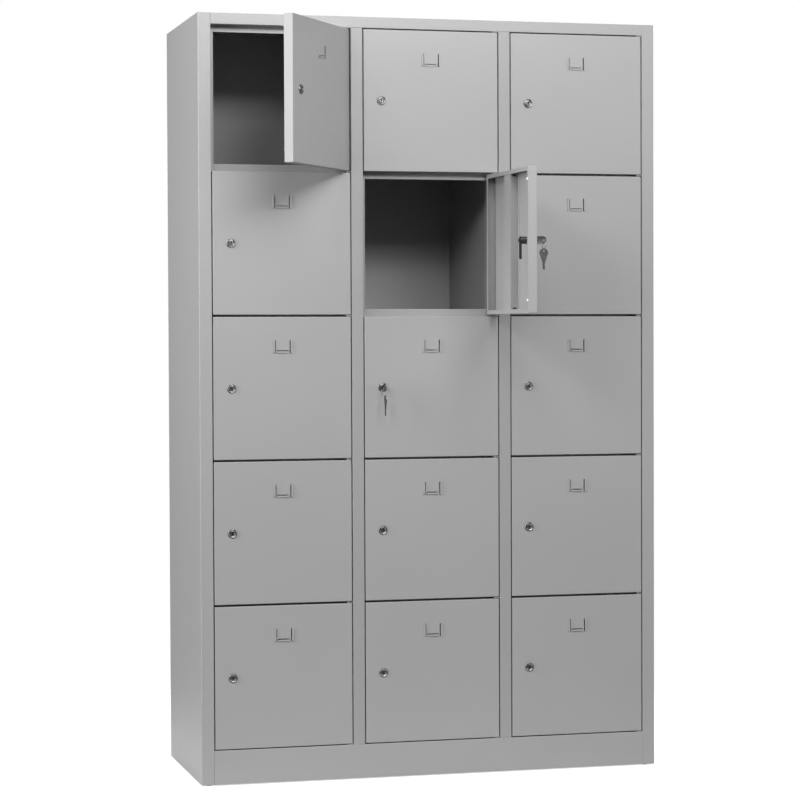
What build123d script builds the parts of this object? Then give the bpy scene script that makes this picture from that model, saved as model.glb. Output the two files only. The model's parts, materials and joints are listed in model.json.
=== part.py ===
"""Steel parcel locker: fifteen lockable compartments, three columns of five, in one welded cabinet.

Millimetres. +X is right, +Y is back, +Z is up. The origin is on the floor, at the middle of the back face.
Columns are c1 to c3 from the left, rows are r1 to r5 from the top. The doors hang on their right side.
"""

from build123d import *
from math import hypot
import os

# Overall size
WIDTH = 1150.0
DEPTH = 450.0
HEIGHT = 1850.0
COLUMNS = 3
ROWS = 5

# Cabinet sheet and front frame
SHEET = 0.8
STILE_FACE = 31.0
POST_FACE = 29.0
TOP_RAIL = 27.0
PLINTH = 82.0
CORNER_FACE = 3.0
CORNER_BEND = 1.6
EDGE_BEND = 1.5
STOP_WIDTH = 10.0
SWING_CLEAR = 0.7
STOP_RISE = 16.0
STOP_DROP = 15.0
HEM = 12.0

# Feet and the plates that carry them
FOOT_HEIGHT = 3.0
FOOT_R = 9.5
FOOT_INSET = 20.0
FOOT_STEM_R = 4.0
FOOT_STEM = 9.0
FOOT_CLEAR = 0.05
PLATE = 2.0
PLATE_SIDE = 40.0

# Door pan
SIDE_GAP = 2.5
END_GAP = 2.5
DOOR_DEPTH = 22.0
DOOR_LIP = 10.0
DOOR_BEND = 1.5
STIFFENER_WIDTH = 50.0
STIFFENER_CLEAR = 0.4
STIFFENER_FOOT = 11.0
STIFFENER_END_GAP = 1.0
SLOT_LENGTH = 9.0
SLOT_HEIGHT = 3.5
SLOT_FROM_END = 13.0

# Card holder: three lips cut out of the door's skin and raised on their outer feet
CARD_LIP_TALL = 30.5
CARD_LIP_WIDE = 4.5
CARD_SPAN = 47.5
CARD_BASE_LONG = 29.0
CARD_RISE = 2.0
CARD_BELOW_TOP = 56.5

# Hinge: the pin's place in the door's right edge, and its tab
PIN_FROM_EDGE = 8.0
PIN_FROM_FACE = 5.0
PIN_R = 2.5
PIN_CLEAR = 0.05
PIN_PAST_FLANGE = 2.0
TAB_PAST_PIN = 2.0
TAB = 1.5
TAB_SETBACK = 0.4

# Cam lock
LOCK_FROM_EDGE = 44.0
BEZEL_R = 11.0
BEZEL_PROUD = 3.0
BEZEL_ROUND = 1.0
BARREL_R = 9.0
BARREL_CLEAR = 0.2
NUT_FLATS = 24.0
NUT = 4.0
NUT_CLEAR = 0.05
PLUG_R = 6.45
PLUG_CLEAR = 0.05
PLUG_RECESS = 0.4
CAM_GAP = 0.3
CAM_BEHIND_STOP = 1.0
CAM_FROM_WALL = 2.0
CAM = 2.5
CAM_HALF_WIDTH = 7.0
CAM_HUB_R = 9.0
CAM_ROUND = 3.0
BOSS_R = 3.0
BOSS_CLEAR = 0.03
SCREW_R = 5.2
SCREW_HEAD = 3.0

# Keys and rings
KEY = 2.0
KEY_CLEAR = 0.2
BLADE_TALL = 5.6
BLADE_DEPTH = 18.0
BOW_START = 10.0
BOW_END = 36.0
BOW_TALL = 19.5
BOW_ROUND = 8.0
BOW_HOLE_FROM_FACE = 30.0
BOW_HOLE_R = 2.5
RING_R = 10.5
WIRE_R = 0.8
RING_REST = 0.3
SPARE_BOW_R = 10.4
SPARE_HOLE_FROM_TOP = 5.0
SPARE_SHOULDER = 0.9
SPARE_TAPER_END = 34.0
SPARE_LENGTH = 50.0

# Doors that stand open, in degrees, and locks that hold a key
OPEN_ANGLE = {(1, 1): 54.0, (2, 2): 90.0}
KEYED = [(2, 2), (2, 3)]

# The stop is as far back as the pan's rear hinge corner reaches when the door swings
REAR_CORNER_R = hypot(PIN_FROM_EDGE, DOOR_DEPTH - PIN_FROM_FACE)
STOP_DEPTH = PIN_FROM_FACE + REAR_CORNER_R + SWING_CLEAR

# Derived places
FRONT = -DEPTH
STOP = FRONT + STOP_DEPTH
STOP_BACK = STOP + SHEET
LEFT = -WIDTH / 2
TOP_SHEET = HEIGHT - SHEET
OPENING_LOW = FOOT_HEIGHT + PLINTH
OPENING_HIGH = HEIGHT - TOP_RAIL
PITCH = (OPENING_HIGH - OPENING_LOW) / ROWS
OPENING = (WIDTH - 2 * STILE_FACE - (COLUMNS - 1) * POST_FACE) / COLUMNS
DOOR_WIDTH = OPENING - 2 * SIDE_GAP
DOOR_HEIGHT = PITCH - 2 * END_GAP
PIN_FROM_OPENING = SIDE_GAP + PIN_FROM_EDGE
TAB_WIDTH = PIN_FROM_OPENING + PIN_R + TAB_PAST_PIN
STIFFENER_DEPTH = DOOR_DEPTH - 2 * SHEET - STIFFENER_CLEAR
CAM_REACH = LOCK_FROM_EDGE + SIDE_GAP - CAM_FROM_WALL

# Places in a door's own frame: its origin is on the hinge axis, level with the door's lower edge
DOOR_FACE = -PIN_FROM_FACE
DOOR_BACK = DOOR_FACE + DOOR_DEPTH
DOOR_RIGHT = PIN_FROM_EDGE
DOOR_LEFT = DOOR_RIGHT - DOOR_WIDTH
DOOR_MIDDLE = (DOOR_LEFT + DOOR_RIGHT) / 2
LOCK_X = DOOR_LEFT + LOCK_FROM_EDGE
LOCK_Z = DOOR_HEIGHT / 2
PLUG_END = DOOR_FACE + STOP_DEPTH + SHEET + CAM_BEHIND_STOP
BARREL_END = PLUG_END - CAM_GAP
RING_X = DOOR_FACE - BOW_HOLE_FROM_FACE
RING_TOP = LOCK_Z - (BOW_HOLE_R - WIRE_R - RING_REST)
RING_FOOT = RING_TOP - 2 * RING_R
SPARE_HOLE = RING_FOOT - (BOW_HOLE_R - WIRE_R - RING_REST)


def block(x0, x1, y0, y1, z0, z1):
    """A rectangular solid between two corners."""
    return Pos((x0 + x1) / 2, (y0 + y1) / 2, (z0 + z1) / 2) * Box(x1 - x0, y1 - y0, z1 - z0)


def disc_y(radius, y0, y1, x=0.0, z=0.0):
    """A round bar along Y."""
    return Pos(x, (y0 + y1) / 2, z) * Rot(90, 0, 0) * Cylinder(radius, y1 - y0)


def disc_z(radius, z0, z1, x=0.0, y=0.0):
    """A round bar along Z."""
    return Pos(x, y, (z0 + z1) / 2) * Cylinder(radius, z1 - z0)


def front_edges(piece, along, y):
    """The edges of a sheet piece that run along an axis in the plane at y, for its outer bends."""
    return piece.edges().filter_by(along).filter_by_position(Axis.Y, y - 0.01, y + 0.01)


def mirrored(solids):
    """The same solids on the other side of the cabinet's middle plane."""
    return [mirror(solid, about=Plane.YZ) for solid in solids]


def opening_left(column):
    """X of the left edge of a column's door openings."""
    return LEFT + STILE_FACE + (column - 1) * (OPENING + POST_FACE)


def opening_right(column):
    """X of the right edge of a column's door openings."""
    return opening_left(column) + OPENING


def joint_level(row):
    """Z of the joint line under a row; row 0 is the line over the top row."""
    return OPENING_HIGH - row * PITCH


def on_door(column, row, solid):
    """Places a solid from the door's own frame on that door, at the angle where the door stands."""
    place = Pos(opening_right(column) - PIN_FROM_OPENING, FRONT + PIN_FROM_FACE, joint_level(row) + END_GAP)
    return place * Rot(0, 0, OPEN_ANGLE.get((column, row), 0.0)) * solid


def save(name, solids):
    """Writes one node: its solids stay separate."""
    pieces = [piece for solid in solids for piece in solid.solids()]
    export_step(pieces[0] if len(pieces) == 1 else Compound(children=pieces), f"parts/{name}.step")


# ---- Cabinet ----


def side_skin():
    """The left side's sheet, with its bend into the front."""
    sheet = block(LEFT, LEFT + SHEET, FRONT, -SHEET, FOOT_HEIGHT, HEIGHT)
    sheet += block(LEFT, LEFT + CORNER_FACE, FRONT, FRONT + SHEET, FOOT_HEIGHT, HEIGHT)
    outer = sheet.edges().filter_by(Axis.Z).sort_by(lambda e: e.center().X + e.center().Y)[0]
    return fillet(outer, CORNER_BEND)


def stile():
    """The left stile: face, return and the stop flange that the doors close on."""
    inner = LEFT + STILE_FACE
    foot = FOOT_HEIGHT + PLATE
    piece = block(LEFT + CORNER_FACE, inner, FRONT, FRONT + SHEET, FOOT_HEIGHT, HEIGHT)
    piece += block(inner - SHEET, inner, FRONT + SHEET, STOP_BACK, foot, TOP_SHEET)
    piece += block(inner, inner + STOP_WIDTH, STOP, STOP_BACK, foot, TOP_SHEET)
    return fillet(front_edges(piece, Axis.Z, FRONT).sort_by(Axis.X)[-1], EDGE_BEND)


def post(middle):
    """A hat-shaped post between two columns, with a stop flange on each side."""
    half = POST_FACE / 2
    low, high = OPENING_LOW, OPENING_HIGH
    piece = block(middle - half, middle + half, FRONT, FRONT + SHEET, low, high)
    for side in (-1, 1):
        edge, inside, outside = (middle + side * w for w in (half, half - SHEET, half + STOP_WIDTH))
        piece += block(min(edge, inside), max(edge, inside), FRONT + SHEET, STOP_BACK, low, high)
        piece += block(min(edge, outside), max(edge, outside), STOP, STOP_BACK, low, high)
    return fillet(front_edges(piece, Axis.Z, FRONT), EDGE_BEND)


def partition_walls(middle):
    """The two walls behind a post, flush with its edges."""
    half = POST_FACE / 2
    spans = [(middle - half, middle - half + SHEET), (middle + half - SHEET, middle + half)]
    return [block(x0, x1, STOP_BACK, -SHEET, OPENING_LOW, TOP_SHEET) for x0, x1 in spans]


def partitions():
    """Both double-walled partitions."""
    middles = [opening_right(column) + POST_FACE / 2 for column in range(1, COLUMNS)]
    return [solid for middle in middles for solid in [post(middle), *partition_walls(middle)]]


def stop_lips(z0, z1):
    """One stop lip per column, between the vertical stops."""
    return [
        block(opening_left(c) + STOP_WIDTH, opening_right(c) - STOP_WIDTH, STOP, STOP_BACK, z0, z1)
        for c in range(1, COLUMNS + 1)
    ]


def top_panel():
    """The top sheet, folded into the top rail, its return and the top stop lips."""
    inner = WIDTH / 2 - STILE_FACE
    piece = block(LEFT + SHEET, -LEFT - SHEET, FRONT + SHEET, -SHEET, TOP_SHEET, HEIGHT)
    piece += block(-inner, inner, FRONT, FRONT + SHEET, OPENING_HIGH, HEIGHT)
    piece += block(-inner, inner, FRONT + SHEET, STOP, OPENING_HIGH, OPENING_HIGH + SHEET)
    for lip in stop_lips(OPENING_HIGH - STOP_RISE, OPENING_HIGH + SHEET):
        piece += lip
    return [fillet(front_edges(piece, Axis.X, FRONT), EDGE_BEND)]


def corner_plate(x_side, y_side):
    """A plate in a bottom corner, with a hole for a foot's stem."""
    outer_x, outer_y = (LEFT + SHEET, FRONT + SHEET)
    plate = block(outer_x, outer_x + PLATE_SIDE, 0, PLATE_SIDE, FOOT_HEIGHT, FOOT_HEIGHT + PLATE)
    hole = disc_z(FOOT_STEM_R + FOOT_CLEAR, 0, 4 * PLATE, LEFT + FOOT_INSET, FOOT_INSET - SHEET)
    plate = plate - hole
    if y_side > 0:
        plate = mirror(plate, about=Plane.XZ)
    plate = Pos(0, -SHEET if y_side > 0 else outer_y, 0) * plate
    return mirror(plate, about=Plane.YZ) if x_side > 0 else plate


def plinth():
    """The plinth, folded back under the bottom doors and up behind them, and the four corner plates."""
    inner = WIDTH / 2 - STILE_FACE
    piece = block(-inner, inner, FRONT, FRONT + SHEET, FOOT_HEIGHT, OPENING_LOW)
    piece += block(-inner, inner, FRONT + SHEET, STOP, OPENING_LOW - SHEET, OPENING_LOW)
    for lip in stop_lips(OPENING_LOW - SHEET, OPENING_LOW + STOP_RISE):
        piece += lip
    piece = fillet(front_edges(piece, Axis.X, FRONT).sort_by(Axis.Z)[-1], EDGE_BEND)
    return [piece] + [corner_plate(x, y) for x in (-1, 1) for y in (-1, 1)]


def back_panel():
    """The flat back sheet."""
    return [block(LEFT, -LEFT, -SHEET, 0, FOOT_HEIGHT, HEIGHT)]


def deck(column, level):
    """The floor of a compartment, wall to wall, with its top face STOP_RISE over the joint line."""
    x0 = LEFT + SHEET if column == 1 else opening_left(column)
    x1 = -LEFT - SHEET if column == COLUMNS else opening_right(column)
    top = level + STOP_RISE
    return block(x0, x1, STOP_BACK, -SHEET, top - SHEET, top)


def shelf(column, level):
    """A compartment's floor with its front rail, which stops the door over it and the door under it."""
    x0, x1 = opening_left(column) + STOP_WIDTH, opening_right(column) - STOP_WIDTH
    piece = deck(column, level)
    piece += block(x0, x1, STOP, STOP_BACK, level - STOP_DROP, level + STOP_RISE)
    piece += block(x0, x1, STOP_BACK, STOP_BACK + HEM, level - STOP_DROP, level - STOP_DROP + SHEET)
    return fillet(front_edges(piece, Axis.X, STOP), EDGE_BEND)


def shelves():
    """All compartment floors: the bottom ones have no rail, because the plinth's lip is there."""
    columns = range(1, COLUMNS + 1)
    floors = [shelf(column, joint_level(row)) for column in columns for row in range(1, ROWS)]
    return floors + [deck(column, joint_level(ROWS)) for column in columns]


def hinge_tab(column, level):
    """A tab in a joint line with the pins of the doors over and under it."""
    right = opening_right(column)
    x, y = right - PIN_FROM_OPENING, FRONT + PIN_FROM_FACE
    reach = END_GAP + SHEET + PIN_PAST_FLANGE
    low, high = joint_level(level) - TAB / 2, joint_level(level) + TAB / 2
    pin_low, pin_high = joint_level(level) - reach, joint_level(level) + reach
    if level == 0:
        low, high, pin_high = OPENING_HIGH - TAB, OPENING_HIGH, OPENING_HIGH
    if level == ROWS:
        low, high, pin_low = OPENING_LOW, OPENING_LOW + TAB, OPENING_LOW
    tab = block(right - TAB_WIDTH, right, FRONT + TAB_SETBACK, STOP, low, high)
    return tab + disc_z(PIN_R, pin_low, pin_high, x, y)


def hinge_tabs():
    """All hinge tabs: one in each joint line of each column."""
    return [hinge_tab(column, level) for column in range(1, COLUMNS + 1) for level in range(ROWS + 1)]


def foot(x, y):
    """A plastic glide with its stem in a corner plate."""
    return disc_z(FOOT_R, 0, FOOT_HEIGHT, x, y) + disc_z(FOOT_STEM_R, FOOT_HEIGHT, FOOT_STEM, x, y)


def feet():
    """The four glides, near the corners."""
    x = WIDTH / 2 - FOOT_INSET
    return [foot(side * x, y) for side in (-1, 1) for y in (FRONT + FOOT_INSET, -FOOT_INSET)]


# ---- Door, in its own frame ----


def door_pan():
    """The door's skin with flanges on all four sides, lips behind them, and holes for the pins and the lock."""
    pan = block(DOOR_LEFT, DOOR_RIGHT, DOOR_FACE, DOOR_BACK, 0, DOOR_HEIGHT)
    face_edges = pan.faces().sort_by(Axis.Y)[0].edges()
    pan = fillet(face_edges + pan.edges().filter_by(Axis.Y), DOOR_BEND)
    pan -= block(
        DOOR_LEFT + SHEET, DOOR_RIGHT - SHEET, DOOR_FACE + SHEET, DOOR_BACK - SHEET, SHEET, DOOR_HEIGHT - SHEET
    )
    pan -= block(
        DOOR_LEFT + DOOR_LIP, DOOR_RIGHT - DOOR_LIP, DOOR_BACK - 2 * SHEET, DOOR_BACK + SHEET, DOOR_LIP,
        DOOR_HEIGHT - DOOR_LIP,
    )
    pan -= disc_z(PIN_R + PIN_CLEAR, -SHEET, DOOR_HEIGHT + SHEET)
    return pan - disc_y(BARREL_R + BARREL_CLEAR, DOOR_FACE - SHEET, DOOR_FACE + 2 * SHEET, LOCK_X, LOCK_Z)


def card_slots():
    """The holes that the card holder's lips leave in the skin: a lip and its foot are as long as its hole is wide."""
    top = DOOR_HEIGHT - CARD_BELOW_TOP
    low = top - CARD_LIP_TALL
    y0, y1 = DOOR_FACE - SHEET, DOOR_FACE + 1.5 * SHEET
    slots = []
    for side in (-1, 1):
        fold, end = (DOOR_MIDDLE + side * (CARD_SPAN / 2 - w) for w in (SHEET, CARD_LIP_WIDE + CARD_RISE))
        slots.append(block(min(fold, end), max(fold, end), y0, y1, low, top))
    x0, x1 = DOOR_MIDDLE - CARD_BASE_LONG / 2, DOOR_MIDDLE + CARD_BASE_LONG / 2
    slots.append(block(x0, x1, y0, y1, low + SHEET, low + CARD_LIP_WIDE + CARD_RISE))
    return slots


def card_lips():
    """The card holder's lips, each on its outer foot: left, right and bottom."""
    top = DOOR_HEIGHT - CARD_BELOW_TOP
    low = top - CARD_LIP_TALL
    outer, raised = DOOR_FACE - CARD_RISE, DOOR_FACE - CARD_RISE + SHEET
    lips = []
    for side in (-1, 1):
        edge, foot_edge, inner = (
            DOOR_MIDDLE + side * w for w in (CARD_SPAN / 2, CARD_SPAN / 2 - SHEET, CARD_SPAN / 2 - CARD_LIP_WIDE)
        )
        lips.append(block(min(edge, inner), max(edge, inner), outer, raised, low, top))
        lips.append(block(min(edge, foot_edge), max(edge, foot_edge), outer, DOOR_FACE, low, top))
    x0, x1 = DOOR_MIDDLE - CARD_BASE_LONG / 2, DOOR_MIDDLE + CARD_BASE_LONG / 2
    lips.append(block(x0, x1, outer, raised, low, low + CARD_LIP_WIDE))
    lips.append(block(x0, x1, outer, DOOR_FACE, low, low + SHEET))
    return lips


def stiffener():
    """The hat-shaped stiffener on the inside of the skin, with a slot near each end of its free-edge side."""
    skin = DOOR_FACE + SHEET
    low, high = SHEET + STIFFENER_END_GAP, DOOR_HEIGHT - SHEET - STIFFENER_END_GAP
    x0, x1 = DOOR_MIDDLE - STIFFENER_WIDTH / 2, DOOR_MIDDLE + STIFFENER_WIDTH / 2
    hat = block(x0, x1, skin, skin + STIFFENER_DEPTH, low, high)
    hat -= block(x0 + SHEET, x1 - SHEET, skin, skin + STIFFENER_DEPTH - SHEET, low, high)
    hat += block(x0 - STIFFENER_FOOT, x0, skin, skin + SHEET, low, high)
    hat += block(x1, x1 + STIFFENER_FOOT, skin, skin + SHEET, low, high)
    middle = skin + STIFFENER_DEPTH / 2
    for z in (SLOT_FROM_END, DOOR_HEIGHT - SLOT_FROM_END):
        y0, y1 = middle - SLOT_LENGTH / 2, middle + SLOT_LENGTH / 2
        hat -= block(x0 - SHEET, x0 + 2 * SHEET, y0, y1, z - SLOT_HEIGHT / 2, z + SLOT_HEIGHT / 2)
    return hat


def door():
    """The door pan with its card holder, and the stiffener welded inside."""
    pan = door_pan()
    for slot in card_slots():
        pan -= slot
    for lip in card_lips():
        pan += lip
    return [pan, stiffener()]


# ---- Cam lock, in the door's frame ----


def lock_body():
    """The housing with its bezel, and the nut that clamps it to the skin."""
    bezel = disc_y(BEZEL_R, DOOR_FACE - BEZEL_PROUD, DOOR_FACE, LOCK_X, LOCK_Z)
    bezel = fillet(bezel.faces().sort_by(Axis.Y)[0].edges(), BEZEL_ROUND)
    housing = bezel + disc_y(BARREL_R, DOOR_FACE, BARREL_END, LOCK_X, LOCK_Z)
    housing -= disc_y(PLUG_R + PLUG_CLEAR, DOOR_FACE - 2 * BEZEL_PROUD, PLUG_END, LOCK_X, LOCK_Z)
    nut_face = DOOR_FACE + SHEET
    hexagon = RegularPolygon(NUT_FLATS / 2, 6, major_radius=False)
    nut = Pos(LOCK_X, nut_face, LOCK_Z) * Rot(-90, 0, 0) * extrude(hexagon, NUT)
    nut -= disc_y(BARREL_R + NUT_CLEAR, nut_face - SHEET, nut_face + 2 * NUT, LOCK_X, LOCK_Z)
    return [housing, nut]


def cam():
    """The cam, hanging unlocked; a quarter turn brings it behind the stop flange."""
    arm = block(
        LOCK_X - CAM_HALF_WIDTH, LOCK_X + CAM_HALF_WIDTH, PLUG_END, PLUG_END + CAM, LOCK_Z - CAM_REACH, LOCK_Z
    )
    tip = arm.edges().filter_by(Axis.Y).sort_by(Axis.Z)[:2]
    arm = fillet(tip, CAM_ROUND) + disc_y(CAM_HUB_R, PLUG_END, PLUG_END + CAM, LOCK_X, LOCK_Z)
    return arm - disc_y(BOSS_R + BOSS_CLEAR, PLUG_END - CAM, PLUG_END + 2 * CAM, LOCK_X, LOCK_Z)


def lock_plug():
    """The turning plug with its keyway, the cam on its end and the screw that holds the cam."""
    front = DOOR_FACE - BEZEL_PROUD + PLUG_RECESS
    plug = disc_y(PLUG_R, front, PLUG_END, LOCK_X, LOCK_Z)
    plug += disc_y(BOSS_R, PLUG_END, PLUG_END + CAM, LOCK_X, LOCK_Z)
    half_thick, half_tall = KEY / 2 + KEY_CLEAR, BLADE_TALL / 2 + KEY_CLEAR
    plug -= block(
        LOCK_X - half_thick, LOCK_X + half_thick, front - 1, DOOR_FACE + BLADE_DEPTH + 1,
        LOCK_Z - half_tall, LOCK_Z + half_tall,
    )
    screw = disc_y(SCREW_R, PLUG_END + CAM, PLUG_END + CAM + SCREW_HEAD, LOCK_X, LOCK_Z)
    return [plug, cam(), screw]


# ---- Keys, in the door's frame ----


def key():
    """The key in the lock: bow, blade and the hole that the ring goes through."""
    half = KEY / 2
    bow = block(
        LOCK_X - half, LOCK_X + half, DOOR_FACE - BOW_END, DOOR_FACE - BOW_START,
        LOCK_Z - BOW_TALL / 2, LOCK_Z + BOW_TALL / 2,
    )
    bow = fillet(bow.edges().filter_by(Axis.X), BOW_ROUND)
    bow += block(
        LOCK_X - half, LOCK_X + half, DOOR_FACE - BOW_START - 1, DOOR_FACE + BLADE_DEPTH,
        LOCK_Z - BLADE_TALL / 2, LOCK_Z + BLADE_TALL / 2,
    )
    hole = Pos(LOCK_X, RING_X, LOCK_Z) * Rot(0, 90, 0) * Cylinder(BOW_HOLE_R, 2 * KEY)
    return [bow - hole]


def key_ring():
    """The wire ring that hangs in the key's bow."""
    return [Pos(LOCK_X, RING_X, RING_TOP - RING_R) * Rot(90, 0, 0) * Torus(RING_R, WIRE_R)]


def spare_key():
    """The second key, hanging from the ring: a round bow that tapers to the blade."""
    top = SPARE_HOLE + SPARE_HOLE_FROM_TOP
    chord_half = SPARE_SHOULDER * SPARE_BOW_R
    chord_z = top - SPARE_BOW_R - (SPARE_BOW_R**2 - chord_half**2) ** 0.5
    taper_z, tip_z, blade_half = top - SPARE_TAPER_END, top - SPARE_LENGTH, BLADE_TALL / 2
    outline = Polygon(
        (RING_X - chord_half, chord_z), (RING_X - blade_half, taper_z),
        (RING_X + blade_half, taper_z), (RING_X + chord_half, chord_z), align=None,
    )
    outline += Pos(RING_X, top - SPARE_BOW_R) * Circle(SPARE_BOW_R)
    outline += Pos(RING_X, (taper_z + tip_z) / 2) * Rectangle(2 * blade_half, taper_z - tip_z)
    outline -= Pos(RING_X, SPARE_HOLE) * Circle(BOW_HOLE_R)
    return [Pos(LOCK_X - KEY / 2, 0, 0) * (Plane.YZ * extrude(outline, KEY))]


def main():
    """Builds every node and writes it."""
    os.makedirs("parts", exist_ok=True)
    save("side_panel_left", [side_skin(), stile()])
    save("side_panel_right", mirrored([side_skin(), stile()]))
    save("partitions", partitions())
    save("top_panel", top_panel())
    save("plinth", plinth())
    save("back_panel", back_panel())
    save("shelves", shelves())
    save("hinge_tabs", hinge_tabs())
    save("feet", feet())
    groups = {"door": door(), "lock_body": lock_body(), "lock_plug": lock_plug()}
    for column in range(1, COLUMNS + 1):
        for row in range(1, ROWS + 1):
            for name, solids in groups.items():
                save(f"{name}_c{column}r{row}", [on_door(column, row, solid) for solid in solids])
    for column, row in KEYED:
        for name, solids in {"key": key(), "key_ring": key_ring(), "spare_key": spare_key()}.items():
            save(f"{name}_c{column}r{row}", [on_door(column, row, solid) for solid in solids])


main()
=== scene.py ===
"""Scene of a steel parcel locker: fifteen compartments, two doors open, keys hanging in two of the cam locks.

Metres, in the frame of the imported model: +X right, +Y back, +Z up, the floor at Z = 0, the back face at Y = 0.
Columns are c1 to c3 from the left and rows r1 to r5 from the top.
"""

import json
import logging
import math
from collections.abc import Callable, Iterable
from dataclasses import dataclass
from enum import Enum

import bpy
from mathutils import Matrix, Vector


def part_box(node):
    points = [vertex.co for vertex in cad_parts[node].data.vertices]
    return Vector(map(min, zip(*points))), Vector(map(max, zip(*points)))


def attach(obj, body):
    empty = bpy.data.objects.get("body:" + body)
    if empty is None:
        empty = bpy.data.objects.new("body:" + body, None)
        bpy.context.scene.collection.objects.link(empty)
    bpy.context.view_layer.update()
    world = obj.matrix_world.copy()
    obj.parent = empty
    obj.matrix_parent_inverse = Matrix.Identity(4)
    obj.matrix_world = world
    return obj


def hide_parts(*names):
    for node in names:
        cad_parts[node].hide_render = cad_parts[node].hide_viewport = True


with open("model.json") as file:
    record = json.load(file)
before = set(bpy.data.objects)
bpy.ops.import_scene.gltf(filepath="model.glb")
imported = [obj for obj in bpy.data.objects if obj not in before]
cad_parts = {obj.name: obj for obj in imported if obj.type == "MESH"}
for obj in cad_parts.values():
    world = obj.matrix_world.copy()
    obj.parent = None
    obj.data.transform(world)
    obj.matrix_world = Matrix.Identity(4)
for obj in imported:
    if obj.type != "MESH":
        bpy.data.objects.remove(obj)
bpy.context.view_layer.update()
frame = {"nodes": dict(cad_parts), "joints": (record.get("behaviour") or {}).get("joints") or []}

LOG = logging.getLogger("parcel_locker")
MM = 0.001
SHORT_EDGE = 0.03 * MM
SAME_POINT = 0.003 * MM
Test = Callable[[Vector], bool]


# ---- Hand operations ----


class Element(Enum):
    """What a selection is made of."""

    VERTS = "VERT"
    EDGES = "EDGE"
    FACES = "FACE"


class Solid(Enum):
    """How one solid is worked into another."""

    CUT = "DIFFERENCE"
    WELD = "UNION"


def deselect_all() -> None:
    """Leaves nothing selected, because an operator acts on all that is."""
    if bpy.context.object and bpy.context.object.mode != "OBJECT":
        bpy.ops.object.mode_set(mode="OBJECT")
    bpy.ops.object.select_all(action="DESELECT")


def focus(piece: bpy.types.Object) -> None:
    """Makes a piece the only selected one, and active."""
    deselect_all()
    piece.select_set(True)
    bpy.context.view_layer.objects.active = piece


def added(name: str) -> bpy.types.Object:
    """Names the primitive that was just added, and its mesh."""
    piece = bpy.context.object
    piece.name = piece.data.name = name
    return piece


def pick(piece: bpy.types.Object, element: Element, test: Test) -> None:
    """Opens a piece in edit mode with some of its elements selected.

    Args:
        piece: The mesh object.
        element: Vertices, edges or faces.
        test: Says of an element's centre whether it is wanted.
    """
    focus(piece)
    bpy.ops.object.mode_set(mode="EDIT")
    bpy.ops.mesh.select_mode(type=element.value)
    bpy.ops.mesh.select_all(action="DESELECT")
    bpy.ops.object.mode_set(mode="OBJECT")
    mesh = piece.data
    if element is Element.FACES:
        for face in mesh.polygons:
            face.select = test(face.center)
    elif element is Element.EDGES:
        for edge in mesh.edges:
            a, b = (mesh.vertices[i].co for i in edge.vertices)
            edge.select = test((a + b) / 2)
    else:
        for vertex in mesh.vertices:
            vertex.select = test(vertex.co)
    bpy.ops.object.mode_set(mode="EDIT")


def leave_edit(piece: bpy.types.Object, merge: float = 0.0) -> None:
    """Goes back to object mode with the faces turned outwards.

    Args:
        piece: The piece in edit mode.
        merge: Distance under which doubled vertices are merged first, or 0 for none.
    """
    bpy.ops.mesh.select_all(action="SELECT")
    if merge:
        bpy.ops.mesh.remove_doubles(threshold=merge)
    bpy.ops.mesh.normals_make_consistent(inside=False)
    bpy.ops.object.mode_set(mode="OBJECT")
    focus(piece)


def box(name: str, low: Vector, high: Vector) -> bpy.types.Object:
    """A block between two corners, with its size and place in its mesh."""
    deselect_all()
    bpy.ops.mesh.primitive_cube_add(size=1.0, location=(Vector(low) + Vector(high)) / 2)
    piece = added(name)
    piece.scale = Vector(high) - Vector(low)
    bpy.ops.object.transform_apply(location=True, rotation=True, scale=True)
    return piece


def rod(name: str, radius: float, low: float, high: float, sides: int = 32) -> bpy.types.Object:
    """A round or many-sided bar along Z."""
    deselect_all()
    middle = (0.0, 0.0, (low + high) / 2)
    bpy.ops.mesh.primitive_cylinder_add(vertices=sides, radius=radius, depth=high - low, location=middle)
    piece = added(name)
    bpy.ops.object.transform_apply(location=True, rotation=True, scale=True)
    return piece


def turned(name: str, outline: list[tuple[float, float]], sides: int, closed: bool = False) -> bpy.types.Object:
    """Turns an outline round Z: a circle, extruded and scaled from point to point.

    Args:
        name: The piece's name.
        outline: (radius, height) points.
        sides: Sides of the circle.
        closed: Joins the last ring to the first, as for a tube. Otherwise both ends are filled.

    Returns:
        The turned piece.
    """
    deselect_all()
    radius, height = outline[0]
    bpy.ops.mesh.primitive_circle_add(vertices=sides, radius=radius, fill_type="NOTHING" if closed else "NGON")
    piece = added(name)
    bpy.ops.object.mode_set(mode="EDIT")
    bpy.ops.mesh.select_all(action="SELECT")
    bpy.ops.transform.translate(value=(0, 0, height))
    if not closed:
        bpy.ops.mesh.select_mode(type="EDGE")
    ring = outline[1:] + outline[:1] if closed else outline[1:]
    for next_radius, next_height in ring:
        bpy.ops.mesh.extrude_edges_move(TRANSFORM_OT_translate={"value": (0, 0, next_height - height)})
        share = next_radius / radius
        bpy.ops.transform.resize(value=(share, share, 1), center_override=(0, 0, next_height))
        radius, height = next_radius, next_height
    if not closed:
        bpy.ops.mesh.edge_face_add()
    leave_edit(piece, merge=0.001 * MM)
    return piece


def combined(piece: bpy.types.Object, tool: bpy.types.Object, operation: Solid) -> None:
    """Works a tool into a piece, and throws the tool away."""
    focus(piece)
    modifier = piece.modifiers.new(operation.name, "BOOLEAN")
    modifier.object, modifier.operation, modifier.solver = tool, operation.value, "EXACT"
    bpy.ops.object.modifier_apply(modifier=modifier.name)
    bpy.data.objects.remove(tool)


def cut(piece: bpy.types.Object, cutter: bpy.types.Object) -> None:
    """Takes a cutter out of a piece."""
    combined(piece, cutter, Solid.CUT)


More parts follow.
